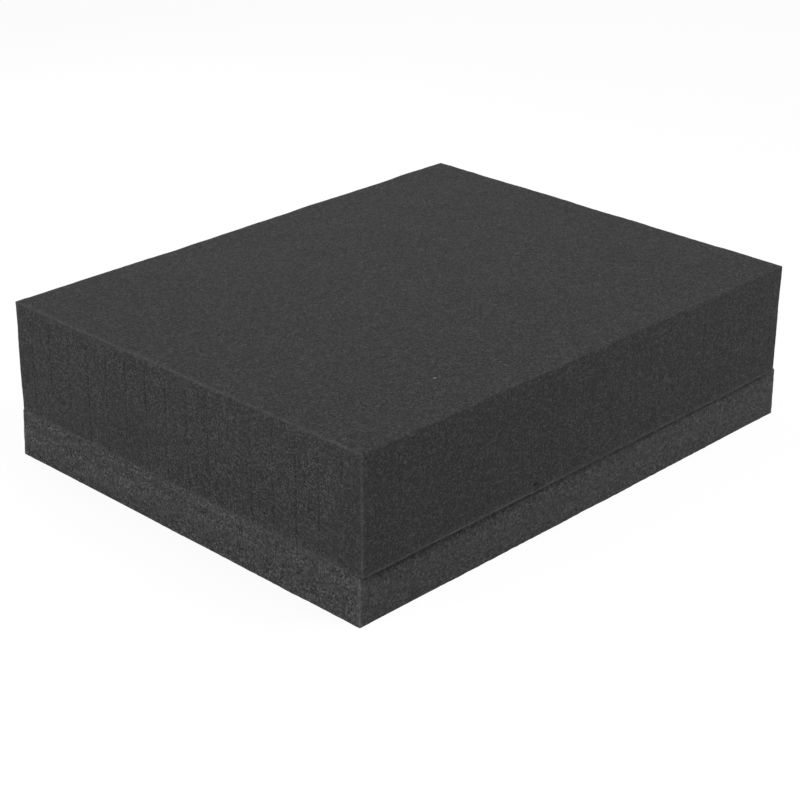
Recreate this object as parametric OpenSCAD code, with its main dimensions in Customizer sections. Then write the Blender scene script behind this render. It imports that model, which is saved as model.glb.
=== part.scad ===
// Pick and pluck foam insert: a thick slab of charcoal foam, slit into square columns that tear out
// by hand, lying on a plain base pad of slightly lighter and coarser foam.
// Millimetres, +Z up. The origin is under the middle of the slab, on the surface that the pad lies on.

/* [Slab] */
// Length of the slab, along X
slab_l = 315; // [200:5:450]
// Width of the slab, along Y
slab_w = 250; // [150:5:350]
// Height of the slab
slab_h = 60; // [30:1:100]

/* [Pluck grid] */
// Side of a square column, from slit to slit
column_pitch = 15; // [12:0.5:30]
// Width of a slit where the knife went through the foam
slit_kerf = 0.3; // [0.1:0.05:1]
// Foam left whole above the slits, which holds the columns together
skin_h = 7; // [2:0.5:20]

/* [Base pad] */
// Height of the pad
pad_h = 26.5; // [10:0.5:50]
// How much longer than the slab the pad is cut
pad_extra_l = 1; // [-4:0.5:4]
// How much wider than the slab the pad is cut
pad_extra_w = 0; // [-4:0.5:4]
// How far the pad lies off the middle of the slab, along X
pad_shift_x = 0.5; // [-3:0.25:3]
// How far the pad lies off the middle of the slab, along Y
pad_shift_y = 0.75; // [-3:0.25:3]
// How far the pad is turned under the slab, in degrees
pad_turn = -0.15; // [-1:0.05:1]

/* [Hidden] */

pad_l = slab_l + pad_extra_l;
pad_w = slab_w + pad_extra_w;
slit_depth = slab_h - skin_h;

// How far a cut runs past the face that it opens
cut_past = 1;

// Places of the slits across one side of the slab: a whole number of columns in the middle,
// and a border column at each end that is at least half a pitch wide
function slit_places(side) =
    let (count = floor(side / column_pitch))
    [for (i = [0 : count - 1]) (i - (count - 1) / 2) * column_pitch];

// The grid of slits in plan, each slit running out through both faces that it reaches
module slit_grid() {
    for (x = slit_places(slab_l))
        translate([x, 0])
            square([slit_kerf, slab_w + 2 * cut_past], center = true);
    for (y = slit_places(slab_w))
        translate([0, y])
            square([slab_l + 2 * cut_past, slit_kerf], center = true);
}

// A block cut from a foam sheet, standing on its underside
module foam_block(length, width, height) {
    linear_extrude(height)
        square([length, width], center = true);
}

// The slab rests on the pad. Its slits start at the underside and stop below the plain top.
module pluck_slab() {
    color("#404040")
        translate([0, 0, pad_h])
            difference() {
                foam_block(slab_l, slab_w, slab_h);
                translate([0, 0, -cut_past])
                    linear_extrude(slit_depth + cut_past)
                        slit_grid();
            }
}

// The pad has no slits, and lies a little askew under the slab, as two loose sheets do
module base_pad() {
    color("#4a4a4a")
        translate([pad_shift_x, pad_shift_y, 0])
            rotate([0, 0, pad_turn])
                foam_block(pad_l, pad_w, pad_h);
}

pluck_slab();
base_pad();
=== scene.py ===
"""Pick and pluck foam insert: a thick foam slab, slit into square columns, on a pad of coarser foam."""

import math
from itertools import combinations

import bpy
from mathutils import Matrix, Vector, noise


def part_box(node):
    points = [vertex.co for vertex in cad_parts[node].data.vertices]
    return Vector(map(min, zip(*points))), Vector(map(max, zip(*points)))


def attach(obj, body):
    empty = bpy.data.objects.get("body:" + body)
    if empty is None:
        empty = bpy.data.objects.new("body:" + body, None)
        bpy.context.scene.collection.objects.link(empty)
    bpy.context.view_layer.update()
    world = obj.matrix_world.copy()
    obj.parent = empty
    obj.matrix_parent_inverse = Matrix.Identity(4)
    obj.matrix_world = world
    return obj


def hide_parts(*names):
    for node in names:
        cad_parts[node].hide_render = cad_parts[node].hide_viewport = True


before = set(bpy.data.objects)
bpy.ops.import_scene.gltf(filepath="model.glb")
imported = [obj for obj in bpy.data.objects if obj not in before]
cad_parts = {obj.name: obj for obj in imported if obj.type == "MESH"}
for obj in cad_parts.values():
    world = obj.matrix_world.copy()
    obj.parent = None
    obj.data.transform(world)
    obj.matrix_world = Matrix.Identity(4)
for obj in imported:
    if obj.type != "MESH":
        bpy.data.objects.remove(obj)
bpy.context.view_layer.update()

# Base pad
# One sheet of soft charcoal grey polyurethane foam, sawn from a block, with coarse open cells.
# It lies loose on the table, and its sawn upright edges carry a painted highlight, paler colour where light
# catches them.

MM = 0.001
PAD_GRID = 1.5 * MM
PAD_ROUNDING = 0.4 * MM
PAD_LIP = 0.9 * MM
# Painted highlight along the pad's edges: only its four upright edges are painted paler
PAD_UPRIGHT_HIGHLIGHT = 0.4
PAD_EDGE_HIGHLIGHTS = {(end, side): PAD_UPRIGHT_HIGHLIGHT for end in ("left", "right") for side in ("front", "back")}
PAD_USUAL_HIGHLIGHT = 0
HIGHLIGHT_REACH = 1.6 * MM
PAD_BORDER = 9 * MM
PAD_SHOULDER_REACH = 11 * MM
PAD_RIM_SINK = {(1, -1): (1.7 * MM, 0.9 * MM), (0, -1): (1.7 * MM, 1.1 * MM), (1, 1): (1.1 * MM, 0.5 * MM)}
PAD_FRONT_SLUMP = (2.5 * MM, 1.4 * MM)
PAD_LEFT_SLUMP = (0.8 * MM, 0.8 * MM)
PAD_SQUARE_END = 15 * MM
PAD_LEAN = {(0, -1): (1.3 * MM, 0), (1, -1): (0.8 * MM, 0), (0, 1): (-0.8 * MM, 0)}
PAD_SHELF_LIFT = 0.9 * MM
PAD_SHELF_SPREAD = 1.4 * MM
PAD_SHELF_REACH = 2.4 * MM
PAD_WAVE_LENGTH = 45 * MM
PAD_WAVE_HEIGHT = 0.6 * MM
PAD_RELIEF_LENGTH = 3.5 * MM
PAD_RELIEF_HEIGHT = 0.45 * MM
PAD_CELL = 0.95 * MM
PAD_MOTTLE = 5 * MM
PAD_PIT_DEPTH = 0.5 * MM
SMOOTH_ANGLE = math.radians(50)
CLOUD_RANGE = {"From Min": 0.3, "From Max": 0.7}
CELL_REACH = 0.9
GRAIN_CHANGE = 0.35
BODY_PLACE = 0.4
# The painted edge highlight is patchy with the mottle, down to this share of its strength
LEAST_HIGHLIGHT = 0.5


def sawn_block(name, low, high, rounding):
    """A block of foam between two corners, with all its edges slightly rounded."""
    bpy.ops.object.select_all(action="DESELECT")
    bpy.ops.mesh.primitive_cube_add(size=1, location=(low + high) / 2, scale=high - low)
    block = bpy.context.object
    block.name = name
    block.data.name = name
    bpy.ops.object.transform_apply(location=True, rotation=True, scale=True)
    bpy.ops.object.mode_set(mode="EDIT")
    bpy.ops.mesh.select_all(action="SELECT")
    bpy.ops.mesh.bevel(offset=rounding, segments=2, affect="EDGES")
    bpy.ops.object.mode_set(mode="OBJECT")
    return block


def pick(piece, kind, wanted):
    """Enters edit mode with only the wanted vertices, edges or faces of a piece selected."""
    bpy.ops.object.mode_set(mode="EDIT")
    bpy.ops.mesh.select_mode(type=kind)
    bpy.ops.mesh.select_all(action="DESELECT")
    bpy.ops.object.mode_set(mode="OBJECT")
    items = {"VERT": piece.data.vertices, "EDGE": piece.data.edges, "FACE": piece.data.polygons}[kind]
    for item in items:
        item.select = wanted(item)
    bpy.ops.object.mode_set(mode="EDIT")


def inset_face(piece, way, border):
    """Insets the top or bottom face by a border, and leaves edit mode open with the inner face selected."""
    largest = max(face.area for face in piece.data.polygons)
    pick(piece, "FACE", lambda face: face.normal.z * way > 0.99 and face.area > 0.5 * largest)
    bpy.ops.mesh.inset(thickness=border)


def cut_across(piece, axis, places):
    """Cuts a piece along flat planes across one axis."""
    normal = Vector((0, 0, 0))
    normal[axis] = 1
    bpy.ops.object.mode_set(mode="EDIT")
    for place in places:
        bpy.ops.mesh.select_all(action="SELECT")
        bpy.ops.mesh.bisect(plane_co=normal * place, plane_no=normal)
    bpy.ops.object.mode_set(mode="OBJECT")


def refine(piece, axis, step):
    """Divides the edges that run along one axis, hidden ones apart, into lengths of about one step."""
    mesh = piece.data

    def parts(edge):
        start, end = (mesh.vertices[index].co for index in edge.vertices)
        along = end - start
        if edge.hide or abs(along[axis]) < 0.999 * along.length:
            return 0
        return round(along.length / step)

    for count in sorted({parts(edge) for edge in mesh.edges}):
        if count > 1:
            pick(piece, "EDGE", lambda edge: parts(edge) == count)
            bpy.ops.mesh.subdivide(number_cuts=count - 1)
            bpy.ops.object.mode_set(mode="OBJECT")


def roughen(piece, name, length, height, group):
    """Moves a group's points in and out by soft noise of one wave length, up to half the height each way."""
    texture = bpy.data.textures.new(name, "CLOUDS")
    texture.noise_scale = length
    modifier = piece.modifiers.new(name, "DISPLACE")
    modifier.texture = texture
    modifier.texture_coords = "LOCAL"
    modifier.strength = height
    modifier.vertex_group = group
    bpy.ops.object.modifier_apply(modifier=name)


def eased(away, reach):
    """A share that falls smoothly from 1 to 0 over a reach."""
    near = max(0, 1 - away / reach)
    return near * near * (3 - 2 * near)


def between(pair, point, low, high, axis):
    """A value that goes from the first of a pair at the low end of an axis to the second at the high end."""
    share = (point[axis] - low[axis]) / (high[axis] - low[axis])
    return pair[0] + (pair[1] - pair[0]) * share


def sink_rim(piece, low, high, level, sides, reach):
    """Lowers the foam around some edges at one level, by two depths for the ends of each, over a reach."""
    for vertex in piece.data.vertices:
        sink = 0
        for (axis, way), depths in sides.items():
            inside = high[axis] - vertex.co[axis] if way > 0 else vertex.co[axis] - low[axis]
            depth = between(depths, vertex.co, low, high, 1 - axis)
            sink = max(sink, depth * eased(math.hypot(inside, vertex.co.z - level), reach))
        vertex.co.z -= sink


def slump_side(piece, low, high, axis, shifts, reach):
    """Draws the top edge of the low side of an axis inwards, but leaves both its ends square."""
    other = 1 - axis
    for vertex in piece.data.vertices:
        end_gap = min(high[other] - vertex.co[other], vertex.co[other] - low[other])
        shift = between(shifts, vertex.co, low, high, other) * (1 - eased(end_gap, PAD_SQUARE_END))
        away = math.hypot(vertex.co[axis] - low[axis], vertex.co.z - high.z)
        vertex.co[axis] += shift * eased(away, reach)


def lean_sides(piece, low, high, sides, reach):
    """Moves sides that were not sawn quite square outwards, by two amounts for the foot and top of each."""
    for vertex in piece.data.vertices:
        for (axis, way), leans in sides.items():
            inside = high[axis] - vertex.co[axis] if way > 0 else vertex.co[axis] - low[axis]
            vertex.co[axis] += way * between(leans, vertex.co, low, high, 2) * eased(inside, reach)


def group_points(piece, name, wanted):
    """Puts the wanted points of a piece into a vertex group."""
    group = piece.vertex_groups.new(name=name)
    group.add([vertex.index for vertex in piece.data.vertices if wanted(vertex)], 1, "REPLACE")


def mark_painted_highlights(piece, low, high, tones, usual):
    """Writes how much painted highlight each point gets, from the strength given for each edge where two
    sides meet.
    """
    marks = piece.data.attributes.new("edge_highlight", "FLOAT", "POINT")
    for vertex, mark in zip(piece.data.vertices, marks.data):
        point = vertex.co
        gaps = {"left": point.x - low.x, "right": high.x - point.x, "front": point.y - low.y,
                "back": high.y - point.y, "foot": point.z - low.z, "top": high.z - point.z}
        pale = 0
        for sides in combinations(gaps, 2):
            near = max(0, 1 - math.hypot(gaps[sides[0]], gaps[sides[1]]) / HIGHLIGHT_REACH)
            pale = max(pale, tones.get(sides, usual) * near * near)
        mark.value = pale


pad_corners = [vertex.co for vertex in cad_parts["base_pad"].data.vertices]
pad_front_left = min(pad_corners, key=lambda corner: corner.x + corner.y)
pad_front_right = max(pad_corners, key=lambda corner: corner.x - corner.y)
pad_back_right = max(pad_corners, key=lambda corner: corner.x + corner.y)
pad_low, pad_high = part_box("base_pad")
pad_middle = (pad_low + pad_high) / 2
pad_length = (pad_front_right - pad_front_left).xy.length
pad_width = (pad_back_right - pad_front_right).xy.length
pad_turn = math.atan2(pad_front_right.y - pad_front_left.y, pad_front_right.x - pad_front_left.x)
pad_half = Vector((pad_length / 2, pad_width / 2, (pad_high.z - pad_low.z) / 2))

pad = sawn_block("base_pad_foam", -pad_half, pad_half, PAD_ROUNDING)
for way in (-1, 1):
    # The middle of the face is left out until the rest is done, so that it isn't divided
    inset_face(pad, way, PAD_BORDER)
    bpy.ops.mesh.delete(type="FACE")
    bpy.ops.object.mode_set(mode="OBJECT")
for axis in range(3):
    cut_across(pad, axis, (PAD_LIP - pad_half[axis], pad_half[axis] - PAD_LIP))
for axis in range(2):
    # Each wall is cut in three, because one subdivide makes 100 cuts at most
    cut_across(pad, axis, (-pad_half[axis] / 3, pad_half[axis] / 3))
for axis in range(3):
    refine(pad, axis, PAD_GRID)
pad_foot = PAD_ROUNDING / 8 - pad_half.z
pad_rim = pad_half.z - PAD_ROUNDING / 2
group_points(pad, "sides", lambda vertex: pad_foot < vertex.co.z < pad_rim)
mark_painted_highlights(pad, -pad_half, pad_half, PAD_EDGE_HIGHLIGHTS, PAD_USUAL_HIGHLIGHT)
slump_side(pad, -pad_half, pad_half, 1, PAD_FRONT_SLUMP, PAD_SHOULDER_REACH)
slump_side(pad, -pad_half, pad_half, 0, PAD_LEFT_SLUMP, PAD_SHOULDER_REACH)
sink_rim(pad, -pad_half, pad_half, pad_half.z, PAD_RIM_SINK, PAD_SHOULDER_REACH)
for vertex in pad.data.vertices:
    # The strip that the slab leaves free stands a little higher, and spreads at its edge
    end_gap = pad_half.x - vertex.co.x
    vertex.co.z += PAD_SHELF_LIFT * eased(math.hypot(end_gap, vertex.co.z - pad_half.z), PAD_SHELF_REACH)
    vertex.co.x += PAD_SHELF_SPREAD * eased(end_gap, PAD_SHELF_REACH)
lean_sides(pad, -pad_half, pad_half, PAD_LEAN, PAD_BORDER)
roughen(pad, "pad saw waves", PAD_WAVE_LENGTH, PAD_WAVE_HEIGHT, "sides")
roughen(pad, "pad cell relief", PAD_RELIEF_LENGTH, PAD_RELIEF_HEIGHT, "sides")
pad.vertex_groups.clear()
for vertex in pad.data.vertices:
    # The table stops the foot
    vertex.co.z = max(vertex.co.z, -pad_half.z)
bpy.ops.object.mode_set(mode="EDIT")
bpy.ops.mesh.select_all(action="SELECT")
bpy.ops.mesh.fill_holes(sides=0)
bpy.ops.object.mode_set(mode="OBJECT")
pad.location = pad_middle
pad.rotation_euler.z = pad_turn
bpy.ops.object.transform_apply(location=True, rotation=True, scale=True)
bpy.ops.object.shade_smooth_by_angle(angle=SMOOTH_ANGLE)


def linear(hex_colour):
    """An sRGB hex colour as linear red, green, blue and alpha."""
    channels = [int(hex_colour[i:i + 2], 16) / 255 for i in (1, 3, 5)]
    lit = [c / 12.92 if c <= 0.04045 else ((c + 0.055) / 1.055) ** 2.4 for c in channels]
    return (*lit, 1)


def add_node(tree, kind, links=None, **settings):
    """Adds a node, sets its properties, and sets or links its inputs."""
    node = tree.nodes.new(kind)
    for name, value in settings.items():
        setattr(node, name, value)
    for name, value in (links or {}).items():
        if isinstance(value, bpy.types.NodeSocket):
            tree.links.new(value, node.inputs[name])
        else:
            node.inputs[name].default_value = value
    return node


def open_cell_foam(name, pore, body, glint, edge_highlight, cell, mottle, patchy, sparkle, calm, pit_depth):
    """Open-cell polyurethane foam, cut with a blade, which the eye sees as dull grey full of fine grain.

    Each cut cell is a dark pore or a pale glint of cell wall, over a soft mottle of looser and denser
    foam, and a painted highlight lies along the edges, paler colour where light catches them. The grain
    is calmer on the two sides across Y. The cells are drawn two to three times their real size, because
    real ones are finer than a pixel.
    """
    material = bpy.data.materials.new(name)
    material.use_nodes = True
    tree = material.node_tree
    tree.nodes.clear()
    spot = add_node(tree, "ShaderNodeTexCoord")
    place = spot.outputs["Object"]
    facing = add_node(tree, "ShaderNodeSeparateXYZ", {"Vector": spot.outputs["Normal"]})
    across = add_node(tree, "ShaderNodeMath", {0: facing.outputs["Y"]}, operation="ABSOLUTE")
    vivid = add_node(tree, "ShaderNodeMapRange", {"Value": across.outputs[0], "To Min": 1.0, "To Max": calm})
    cells = add_node(tree, "ShaderNodeTexVoronoi", {"Vector": place, "Scale": 1 / cell})
    chance = add_node(tree, "ShaderNodeSeparateColor", {"Color": cells.outputs["Color"]})
    shine = add_node(tree, "ShaderNodeMapRange",
                     {"Value": chance.outputs["Red"], "To Min": -sparkle / 2, "To Max": sparkle / 2})
    inside = add_node(tree, "ShaderNodeMapRange",
                      {"Value": cells.outputs["Distance"], "From Max": CELL_REACH,
                       "To Min": 1.0, "To Max": 0.0})
    cut = add_node(tree, "ShaderNodeMath", {0: shine.outputs[0], 1: inside.outputs[0]}, operation="MULTIPLY")
    clouds = add_node(tree, "ShaderNodeTexNoise", {"Vector": place, "Scale": 1 / mottle, "Detail": 3.0})
    open_patch = add_node(tree, "ShaderNodeMapRange",
                          {"Value": clouds.outputs["Fac"], **CLOUD_RANGE,
                           "To Min": 1 - GRAIN_CHANGE, "To Max": 1 + GRAIN_CHANGE})
    lively = add_node(tree, "ShaderNodeMath",
                      {0: vivid.outputs[0], 1: open_patch.outputs[0]}, operation="MULTIPLY")
    grain = add_node(tree, "ShaderNodeMath", {0: cut.outputs[0], 1: lively.outputs[0]}, operation="MULTIPLY")
    density = add_node(tree, "ShaderNodeMapRange",
                       {"Value": clouds.outputs["Fac"], **CLOUD_RANGE,
                        "To Min": BODY_PLACE - patchy, "To Max": BODY_PLACE + patchy})
    tone = add_node(tree, "ShaderNodeMath", {0: grain.outputs[0], 1: density.outputs[0]}, operation="ADD")
    ramp = add_node(tree, "ShaderNodeValToRGB", {"Fac": tone.outputs[0]})
    stops = ramp.color_ramp.elements
    stops.new(BODY_PLACE)
    for stop, colour in zip(stops, (pore, body, glint)):
        stop.color = linear(colour)
    # Painted highlight: the edges are mixed towards a pale colour by the mesh's mark, patchy with the mottle
    edge = add_node(tree, "ShaderNodeAttribute", attribute_name="edge_highlight")
    highlight_patches = add_node(tree, "ShaderNodeMapRange",
                    {"Value": clouds.outputs["Fac"], **CLOUD_RANGE, "To Min": LEAST_HIGHLIGHT})
    painted_highlight = add_node(tree, "ShaderNodeMath",
                      {0: edge.outputs["Fac"], 1: highlight_patches.outputs[0]}, operation="MULTIPLY")
    colour = add_node(tree, "ShaderNodeMix",
                      {"Factor": painted_highlight.outputs[0], "A": ramp.outputs["Color"], "B": linear(edge_highlight)},
                      data_type="RGBA")
    pits = add_node(tree, "ShaderNodeBump",
                    {"Height": grain.outputs[0], "Distance": pit_depth, "Strength": 0.5})
    surface = add_node(tree, "ShaderNodeBsdfPrincipled",
                       {"Base Color": colour.outputs["Result"], "Normal": pits.outputs[0],
                        "Roughness": 0.95, "IOR": 1.5, "Specular IOR Level": 0.06,
                        "Sheen Weight": 0.05, "Sheen Roughness": 0.5})
    add_node(tree, "ShaderNodeOutputMaterial", {"Surface": surface.outputs[0]})
    return material


pad_foam = open_cell_foam("coarse polyurethane foam", "#1c1c1c", "#444444", "#7a7a7a", "#8a8a8a",
                          cell=PAD_CELL, mottle=PAD_MOTTLE, patchy=0.008, sparkle=0.92, calm=0.76,
                          pit_depth=PAD_PIT_DEPTH)
pad.data.materials.append(pad_foam)
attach(pad, "root")
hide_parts("base_pad")

# Pluck slab
# A thick slab of finer charcoal polyurethane foam. Knives have slit it from below into square columns,
# up to a whole skin under the plain top, and the slits have closed again to hairlines on its four sides.

SLAB_GRID = 1.6 * MM
SLAB_ROUNDING = 0.3 * MM
SLAB_LIP = 1.0 * MM
# Painted highlight along the slab's edges: a usual strength, with its own for the front top, front upright
# and front foot edges
SLAB_EDGE_HIGHLIGHTS = {("front", "top"): 0.16, ("left", "front"): 0.36, ("front", "foot"): 0.7}
SLAB_USUAL_HIGHLIGHT = 0.45
SLAB_BORDER = 6 * MM
SLAB_RIM_SINK = {(1, -1): (1.5 * MM, 0.7 * MM), (0, -1): (1.5 * MM, 0.9 * MM), (1, 1): (0.9 * MM, 0.3 * MM)}
SLAB_RIM_REACH = 5 * MM
SLAB_LEAN = {(0, 1): (0, 0.9 * MM), (1, 1): (0, -0.7 * MM)}
SLAB_WAVE_LENGTH = 60 * MM
SLAB_WAVE_HEIGHT = 1.4 * MM
SLAB_RELIEF_LENGTH = 2.5 * MM
SLAB_RELIEF_HEIGHT = 0.3 * MM
SLAB_CELL = 0.76 * MM
SLAB_MOTTLE = 4 * MM
SLAB_PIT_DEPTH = 0.35 * MM
COLUMN_PITCH = 15 * MM
SKIN = 7 * MM
SLIT_LIP = 0.8 * MM
SLIT_LIP_DEPTH = 0.32 * MM
SLIT_DEPTH = 4 * MM
SLIT_GAP = 0.045 * MM
SLIT_OPENNESS = (0.42, 1.25)
SLIT_MEAN_SHARE = 0.75
SLIT_CHANGE = 0.5
SLIT_CHANGE_LENGTH = 15 * MM
NICK_X = -40.1 * MM
NICK_UP = 2.9 * MM
NICK_LENGTH = 2.2 * MM
NICK_HEIGHT = 1.2 * MM
NICK_DEPTH = 2 * MM
NICK_LEAN = 0.4
NICK_ZONE_IN = 2 * MM
NICK_ZONE_UP = 10 * MM
FLAP_X = -40 * MM
FLAP_REACH = 7 * MM
FLAP_DROP = 1.3 * MM
FLAP_TUCK = 1.2 * MM
CRUMB_X = -77.4 * MM
CRUMB_Y = -92.6 * MM
CRUMB_SIZE = Vector((1.9, 1.3, 0.7)) * MM
CRUMB_RELIEF_LENGTH = 0.5 * MM
CRUMB_RELIEF_HEIGHT = 0.2 * MM


def slit_places(side):
    """Places of the slits across one side, about its middle."""
    count = int(side / COLUMN_PITCH + 1e-6)
    return [(i - (count - 1) / 2) * COLUMN_PITCH for i in range(count)]


slab_low, slab_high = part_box("pluck_slab")
slab_size = slab_high - slab_low
slab_middle = (slab_low + slab_high) / 2
skin_under = slab_high.z - SKIN
slits = [[slab_middle[axis] + place for place in slit_places(slab_size[axis])] for axis in range(2)]

slab = sawn_block("pluck_slab_foam", slab_low, slab_high, SLAB_ROUNDING)
inset_face(slab, -1, SLAB_BORDER)
bpy.ops.object.mode_set(mode="OBJECT")
for axis in range(3):
    cut_across(slab, axis, (slab_low[axis] + SLAB_LIP, slab_high[axis] - SLAB_LIP))
cut_across(slab, 2, [skin_under])
for axis in range(2):
    cut_across(slab, axis, slits[axis])


def under_middle(face):
    """Whether a face is in the middle of the underside, which lies on the pad."""
    edge_gap = min(slab_size[i] / 2 - abs(face.center[i] - slab_middle[i]) for i in range(2))
    return face.normal.z < -0.9 and edge_gap > SLAB_BORDER


pick(slab, "FACE", under_middle)
bpy.ops.mesh.hide(unselected=False)
bpy.ops.object.mode_set(mode="OBJECT")
for axis in range(3):
    refine(slab, axis, SLAB_GRID)
bpy.ops.object.mode_set(mode="EDIT")
bpy.ops.mesh.reveal(select=False)
bpy.ops.object.mode_set(mode="OBJECT")


def round_nick(face):
    """Whether a face lies at the nick in the front side, just above its lower edge."""
    off = face.center - Vector((NICK_X, slab_low.y, slab_low.z + NICK_UP))
    return face.normal.y < -0.99 and abs(off.x) < NICK_LENGTH and abs(off.z) < NICK_LENGTH


pick(slab, "FACE", round_nick)
bpy.ops.mesh.subdivide(number_cuts=5)
bpy.ops.object.mode_set(mode="OBJECT")
group_points(slab, "sides and top", lambda vertex: vertex.co.z > slab_low.z + SLAB_ROUNDING / 2)
mark_painted_highlights(slab, slab_low, slab_high, SLAB_EDGE_HIGHLIGHTS, SLAB_USUAL_HIGHLIGHT)
sink_rim(slab, slab_low, slab_high, slab_low.z, SLAB_RIM_SINK, SLAB_RIM_REACH)
lean_sides(slab, slab_low, slab_high, SLAB_LEAN, SLAB_BORDER)
for vertex in slab.data.vertices:
    # A nick has been torn in the front side, and the foam under it hangs over the pad
    if vertex.co.y < slab_low.y + NICK_ZONE_IN and vertex.co.z < slab_low.z + NICK_ZONE_UP:
        along = vertex.co.x - NICK_X
        up = vertex.co.z - slab_low.z - NICK_UP - NICK_LEAN * along
        away = math.hypot(along / NICK_LENGTH, up / NICK_HEIGHT) * 2
        hang = eased(math.hypot(vertex.co.x - FLAP_X, vertex.co.z - slab_low.z), FLAP_REACH)
        vertex.co.y += NICK_DEPTH * max(0, 1 - away * away) + FLAP_TUCK * hang * hang
        vertex.co.z -= FLAP_DROP * hang
roughen(slab, "slab saw waves", SLAB_WAVE_LENGTH, SLAB_WAVE_HEIGHT, "sides and top")
roughen(slab, "slab cell relief", SLAB_RELIEF_LENGTH, SLAB_RELIEF_HEIGHT, "sides and top")
slab.vertex_groups.clear()


def off_slit(point, axis):
    """How far a point lies to one side of the nearest slit across an axis."""
    number = round((point[axis] - slits[axis][0]) / COLUMN_PITCH)
    number = min(max(number, 0), len(slits[axis]) - 1)
    return point[axis] - slits[axis][number]


def on_slit(edge):
    """Whether an edge runs along a slit, below the skin."""
    ends = [slab.data.vertices[index].co for index in edge.vertices]
    if max(end.z for end in ends) > skin_under + SLIT_LIP:
        return False
    for axis in range(2):
        if all(abs(off_slit(end, axis)) < SLIT_LIP / 2 for end in ends):
            return True
    return False


pick(slab, "EDGE", on_slit)
bpy.ops.mesh.bevel(offset=SLIT_LIP, segments=4, affect="EDGES", clamp_overlap=False)
bpy.ops.object.mode_set(mode="OBJECT")
inward_ways = [-vertex.normal for vertex in slab.data.vertices]
for vertex, inward in zip(slab.data.vertices, inward_ways):
    if vertex.co.z > skin_under - SLAB_GRID / 2:
        continue
    for axis in range(2):
        off = off_slit(vertex.co, axis)
        if abs(off) > SLIT_LIP * 3 / 4:
            continue
        inward[axis] = 0
        other = 1 - axis
        if abs(off) < SLIT_LIP / 4:
            # The floor of a slit lies at one depth inside the block
            floor_low = slab_low[other] + SLIT_DEPTH
            floor_high = slab_high[other] - SLIT_DEPTH
            vertex.co[other] = min(max(vertex.co[other], floor_low), floor_high)
            vertex.co.z = max(vertex.co.z, slab_low.z + SLIT_DEPTH)
        else:
            # Its walls stand almost closed, and their lips draw back a little, more so where it gapes
            ragged = SLIT_MEAN_SHARE + SLIT_CHANGE * noise.noise(vertex.co / SLIT_CHANGE_LENGTH)
            opening = SLIT_OPENNESS[axis] * ragged
            vertex.co[axis] += math.copysign(SLIT_GAP * opening / 2, off) - off
            vertex.co += inward * SLIT_LIP_DEPTH * opening
        break

bpy.ops.object.shade_smooth_by_angle(angle=SMOOTH_ANGLE)

slab_foam = open_cell_foam("fine polyurethane foam", "#161616", "#383838", "#666666", "#6a6a6a",
                           cell=SLAB_CELL, mottle=SLAB_MOTTLE, patchy=0.024, sparkle=0.84, calm=0.82,
                           pit_depth=SLAB_PIT_DEPTH)
slab.data.materials.append(slab_foam)

# A pale crumb of torn foam lies on the top
crumb_middle = Vector((CRUMB_X, CRUMB_Y, slab_high.z))
under_crumb = min(slab.data.vertices, key=lambda vertex: (vertex.co - crumb_middle).length)
crumb_middle.z = under_crumb.co.z
bpy.ops.object.select_all(action="DESELECT")
bpy.ops.mesh.primitive_ico_sphere_add(subdivisions=2, radius=0.5, location=crumb_middle, scale=CRUMB_SIZE)
crumb = bpy.context.object
bpy.ops.object.transform_apply(location=True, rotation=True, scale=True)
for vertex in crumb.data.vertices:
    vertex.co += noise.noise_vector(vertex.co / CRUMB_RELIEF_LENGTH) * CRUMB_RELIEF_HEIGHT
crumb_foam = open_cell_foam("pale foam crumb", "#505050", "#7c7c7c", "#a4a4a4", "#a4a4a4",
                            cell=SLAB_CELL, mottle=SLAB_MOTTLE, patchy=0.015, sparkle=0.4, calm=1.0,
                            pit_depth=SLAB_PIT_DEPTH)
crumb.data.materials.append(crumb_foam)
slab.select_set(True)
bpy.context.view_layer.objects.active = slab
bpy.ops.object.join()
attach(slab, "root")
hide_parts("pluck_slab")

# Table and light
# A white table that only takes the soft shadow of the insert, under an even white studio sky with a broad
# lamp from the left and smaller ones above the front, beyond the right-hand end and behind.

FLOOR_SIZE = 8.0
FLOOR_GLOW = 0.9
FLOOR_WHITE = 1.04
SKY_STRENGTH = 0.185
LAMP_AIM = Vector((0, 0, 0.05))


def seen_directly(tree):
    """A socket that is 1 for camera, glossy and transmission rays, and 0 for those that only light things."""
    rays = add_node(tree, "ShaderNodeLightPath")
    direct = add_node(tree, "ShaderNodeMath",
                      {0: rays.outputs["Is Camera Ray"], 1: rays.outputs["Is Glossy Ray"]},
                      operation="MAXIMUM")
    clear = add_node(tree, "ShaderNodeMath",
                     {0: direct.outputs[0], 1: rays.outputs["Is Transmission Ray"]}, operation="MAXIMUM")
    return clear.outputs[0]


bpy.ops.object.select_all(action="DESELECT")
bpy.ops.mesh.primitive_plane_add(size=FLOOR_SIZE)
floor = bpy.context.object
floor.name = "floor"
floor_paint = bpy.data.materials.new("white table")
floor_paint.use_nodes = True
tree = floor_paint.node_tree
tree.nodes.clear()
matt = add_node(tree, "ShaderNodeBsdfDiffuse", {"Color": linear("#f4f4f4")})
glow = add_node(tree, "ShaderNodeEmission", {"Strength": FLOOR_WHITE})
seen = add_node(tree, "ShaderNodeMath", {0: seen_directly(tree), 1: FLOOR_GLOW}, operation="MULTIPLY")
mixed = add_node(tree, "ShaderNodeMixShader", {0: seen.outputs[0], 1: matt.outputs[0], 2: glow.outputs[0]})
add_node(tree, "ShaderNodeOutputMaterial", {"Surface": mixed.outputs[0]})
floor.data.materials.append(floor_paint)

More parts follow.
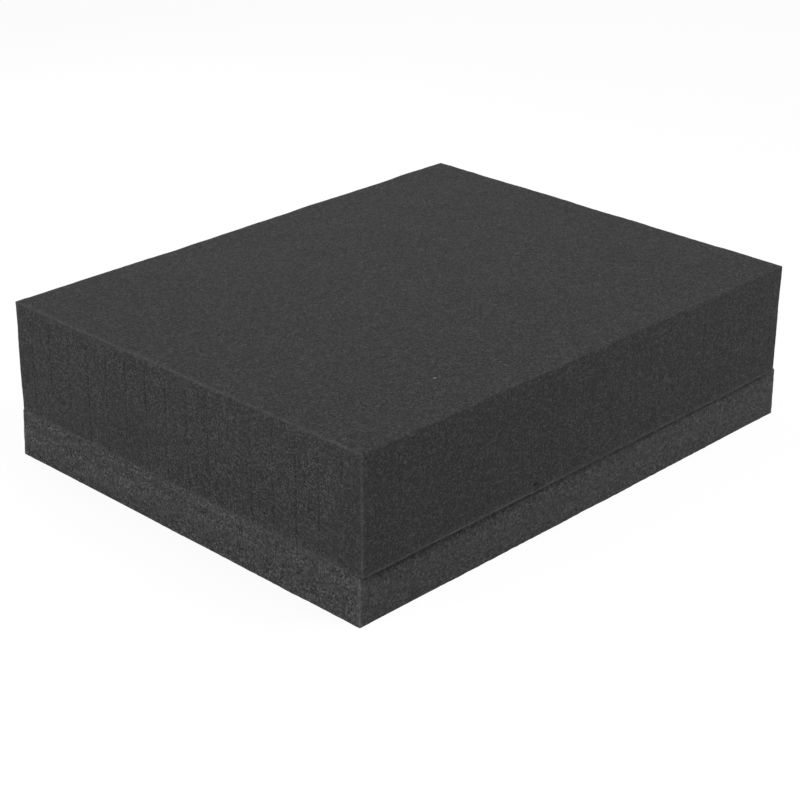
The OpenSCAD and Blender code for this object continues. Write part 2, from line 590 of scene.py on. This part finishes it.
sky = bpy.data.worlds.new("studio sky")
bpy.context.scene.world = sky
sky.use_nodes = True
tree = sky.node_tree
tree.nodes.clear()
strength = add_node(tree, "ShaderNodeMapRange",
                    {"Value": seen_directly(tree), "To Min": SKY_STRENGTH, "To Max": 1.0})
light = add_node(tree, "ShaderNodeBackground", {"Color": linear("#ffffff"), "Strength": strength.outputs[0]})
add_node(tree, "ShaderNodeOutputWorld", {"Surface": light.outputs[0]})


def softbox(name, place, size, power):
    """A square area lamp that points at the insert."""
    bpy.ops.object.light_add(type="AREA", location=place)
    lamp = bpy.context.object
    lamp.name = name
    lamp.data.size = size
    lamp.data.energy = power
    lamp.rotation_euler = (LAMP_AIM - Vector(place)).to_track_quat("-Z", "Y").to_euler()


softbox("key lamp", place=(-1.5, 0.1, 0.5), size=0.7, power=10.9)
softbox("high lamp", place=(0.1, -0.6, 1.0), size=0.4, power=5.1)
softbox("end lamp", place=(0.9, -0.6, 0.25), size=0.4, power=2.3)
softbox("back lamp", place=(0.15, 0.6, 0.45), size=0.5, power=1.75)

# Camera
# It stands where the photograph was taken from, opposite the edge between the two sides that show.
# Its place, angles and focal length were fitted to the corners in the photograph.

IMAGE_SIZE = 800
FOCAL_PIXELS = 2007.3
CAMERA_PLACE = Vector((-700.4, -673.7, 470.2)) * MM
CAMERA_HEADING = math.radians(45.904)
CAMERA_DROP = math.radians(24.872)
CAMERA_ROLL = math.radians(0.147)
SENSOR_WIDTH = 36
CLIP_START = 10 * MM

camera_data = bpy.data.cameras.new("camera")
camera = bpy.data.objects.new("camera", camera_data)
bpy.context.scene.collection.objects.link(camera)
camera_data.sensor_width = SENSOR_WIDTH
camera_data.lens = SENSOR_WIDTH * FOCAL_PIXELS / IMAGE_SIZE
camera_data.clip_start = CLIP_START
turned = Matrix.Rotation(-CAMERA_HEADING, 3, "Z") @ Matrix.Rotation(math.pi / 2 - CAMERA_DROP, 3, "X")
camera.rotation_euler = (turned @ Matrix.Rotation(CAMERA_ROLL, 3, "Z")).to_euler()
camera.location = CAMERA_PLACE
bpy.context.scene.camera = camera
bpy.context.scene.view_settings.view_transform = "Standard"
